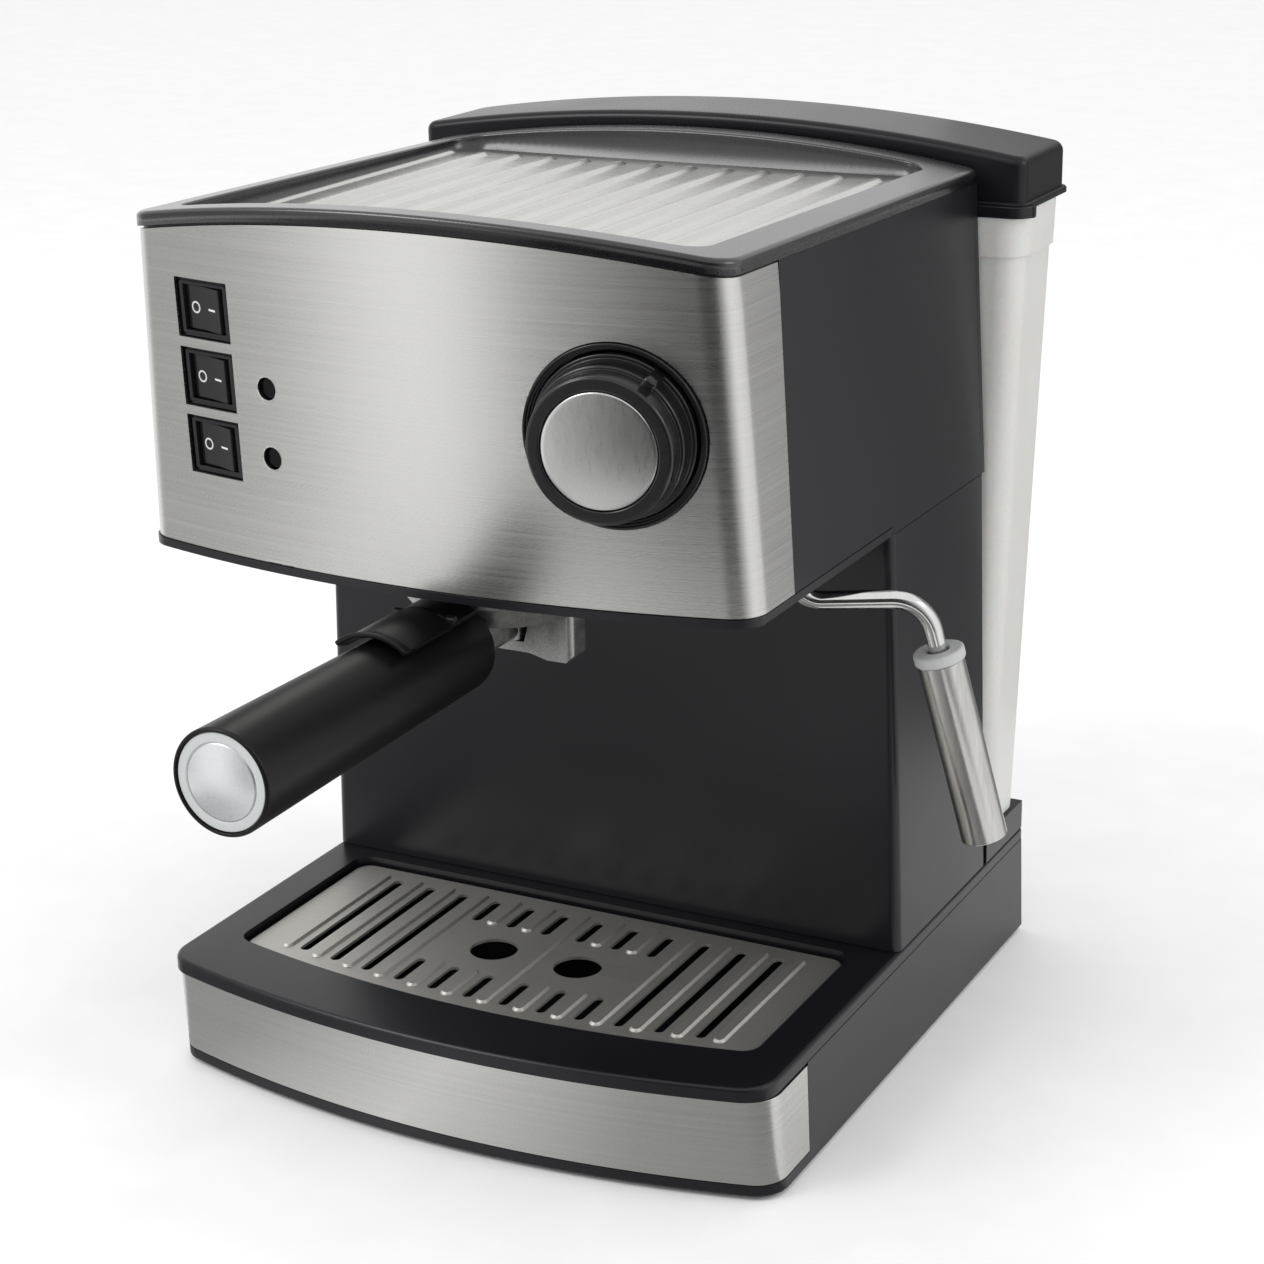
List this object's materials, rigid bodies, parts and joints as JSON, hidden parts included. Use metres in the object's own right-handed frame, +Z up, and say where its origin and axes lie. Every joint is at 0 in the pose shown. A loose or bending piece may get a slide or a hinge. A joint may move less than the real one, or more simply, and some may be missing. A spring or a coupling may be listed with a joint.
{
  "type": "espresso machine",
  "caption": "Compact pump espresso machine with lever-handled filter holder, swivelling steam wand, rocker switches, lift-out drip tray and rear water tank.",
  "frame": {"origin": "on the surface the machine stands on, in its left-right middle plane, 86.8 mm in front of the back face of the base", "axes": "+X to the right seen from the front, +Y to the back, +Z up"},
  "size_m": [0.2481, 0.3223, 0.279],
  "materials": {
    "black_plastic": "satin black moulded ABS, fine grain",
    "black_gloss": "smooth black switch plastic",
    "stainless": "stainless sheet, brushed",
    "polished_steel": "polished stainless tube",
    "die_cast": "cast aluminium, blasted",
    "silver_trim": "satin silver trim",
    "grey_plastic": "grey heat-proof plastic",
    "milky_plastic": "milky translucent tank plastic",
    "amber_lens": "dark lens, unlit",
    "black_rubber": "rubber",
    "silicone": "food-grade silicone",
    "brass": "machined brass",
    "zinc_steel": "zinc-plated steel",
    "copper_coil": "moulded coil housing",
    "wire_pvc": "PVC wire insulation"
  },
  "bodies": {
    "machine": {"base_housing": "black_plastic", "base_band": "stainless", "bottom_cover": "black_plastic", "feet": "black_rubber", "column_housing": "black_plastic", "rear_cover": "black_plastic", "head_housing": "black_plastic", "head_panel": "stainless", "under_pan": "black_plastic", "top_rim": "black_plastic", "cup_plate": "stainless", "switch_bodies": "black_gloss", "indicator_lamps": "amber_lens", "knob_bezel": "black_plastic", "steam_valve_body": "brass", "wand_nut": "brass", "group_casting": "die_cast", "boiler_cover": "die_cast", "boiler_seal": "silicone", "boiler_bolts": "zinc_steel", "heating_element": "zinc_steel", "thermostats": "black_plastic", "brew_gasket": "black_rubber", "shower_screen": "stainless", "screen_screw": "zinc_steel", "tank_socket": "grey_plastic", "socket_seal": "silicone", "pump_body": "brass", "pump_coil": "copper_coil", "pump_mounts": "black_rubber", "suction_hose": "silicone", "pressure_hose": "silicone", "steam_pipes": "brass", "cord_gland": "black_plastic", "terminal_block": "grey_plastic", "wires": "wire_pvc", "housing_screws": "zinc_steel"},
    "rocker_power": {"rocker_power": "black_gloss"},
    "rocker_coffee": {"rocker_coffee": "black_gloss"},
    "rocker_steam": {"rocker_steam": "black_gloss"},
    "steam_knob": {"steam_knob": "black_plastic", "knob_cap": "silver_trim", "valve_spindle": "brass"},
    "wand": {"wand_tube": "polished_steel"},
    "froth_sleeve": {"froth_sleeve": "stainless", "froth_cap": "grey_plastic"},
    "filter_holder": {"filter_holder": "die_cast", "filter_basket": "stainless", "double_spout": "die_cast", "handle_grip": "black_plastic", "handle_bolt": "zinc_steel", "handle_end_disc": "silver_trim", "lever_pin": "zinc_steel"},
    "retainer_lever": {"retainer_lever": "black_plastic"},
    "drip_tray": {"drip_tray": "black_plastic"},
    "drip_grate": {"drip_grate": "stainless"},
    "water_tank": {"water_tank": "milky_plastic", "valve_spring": "zinc_steel"},
    "tank_lid": {"tank_lid": "black_plastic"},
    "tank_valve": {"tank_valve": "grey_plastic"}
  },
  "joints": [
    {"name": "rocker_power_tilt", "type": "hinge", "parent": "machine", "child": "rocker_power", "pos_m": [-0.06583, -0.12318, 0.24622], "axis": [-0.0073, -0.04, 0.9992], "range_deg": [0, 14]},
    {"name": "rocker_coffee_tilt", "type": "hinge", "parent": "machine", "child": "rocker_coffee", "pos_m": [-0.06583, -0.12235, 0.22622], "axis": [-0.0073, -0.04, 0.9992], "range_deg": [0, 14]},
    {"name": "rocker_steam_tilt", "type": "hinge", "parent": "machine", "child": "rocker_steam", "pos_m": [-0.06583, -0.12152, 0.20632], "axis": [-0.0073, -0.04, 0.9992], "range_deg": [0, 14]},
    {"name": "steam_knob_turn", "type": "hinge", "parent": "machine", "child": "steam_knob", "pos_m": [0.0626, -0.12829, 0.2232], "axis": [0.169, -0.9848, -0.0408], "range_deg": [0, 300]},
    {"name": "wand_swivel", "type": "hinge", "parent": "machine", "child": "wand", "pos_m": [0.081, -0.0557, 0.159], "axis": [0, 0, 1], "range_deg": [-100, 20]},
    {"name": "froth_sleeve_slide", "type": "slide", "parent": "wand", "child": "froth_sleeve", "axis": [0.2166, 0.1152, -0.9694], "range_m": [0, 0.038]},
    {"name": "holder_lock", "type": "hinge", "parent": "machine", "child": "filter_holder", "pos_m": [0, -0.082, 0.1736], "axis": [0, 0, 1], "range_deg": [-30, 0]},
    {"name": "retainer_lift", "type": "hinge", "parent": "filter_holder", "child": "retainer_lever", "pos_m": [0, -0.125, 0.1644], "axis": [-1, 0, 0], "range_deg": [0, 24]},
    {"name": "drip_tray_lift", "type": "slide", "parent": "machine", "child": "drip_tray", "axis": [0, 0, 1], "range_m": [0, 0.03]},
    {"name": "drip_grate_lift", "type": "slide", "parent": "drip_tray", "child": "drip_grate", "axis": [0, 0, 1], "range_m": [0, 0.02]},
    {"name": "tank_lift", "type": "slide", "parent": "machine", "child": "water_tank", "axis": [0, 0, 1], "range_m": [0, 0.04]},
    {"name": "tank_lid_lift", "type": "slide", "parent": "water_tank", "child": "tank_lid", "axis": [0, 0, 1], "range_m": [0, 0.04]},
    {"name": "tank_valve_lift", "type": "slide", "parent": "water_tank", "child": "tank_valve", "axis": [0, 0, 1], "range_m": [0, 0.0025], "stiffness_N_per_m": 150, "springref_m": -0.002, "deforming": ["valve_spring"]}
  ]
}
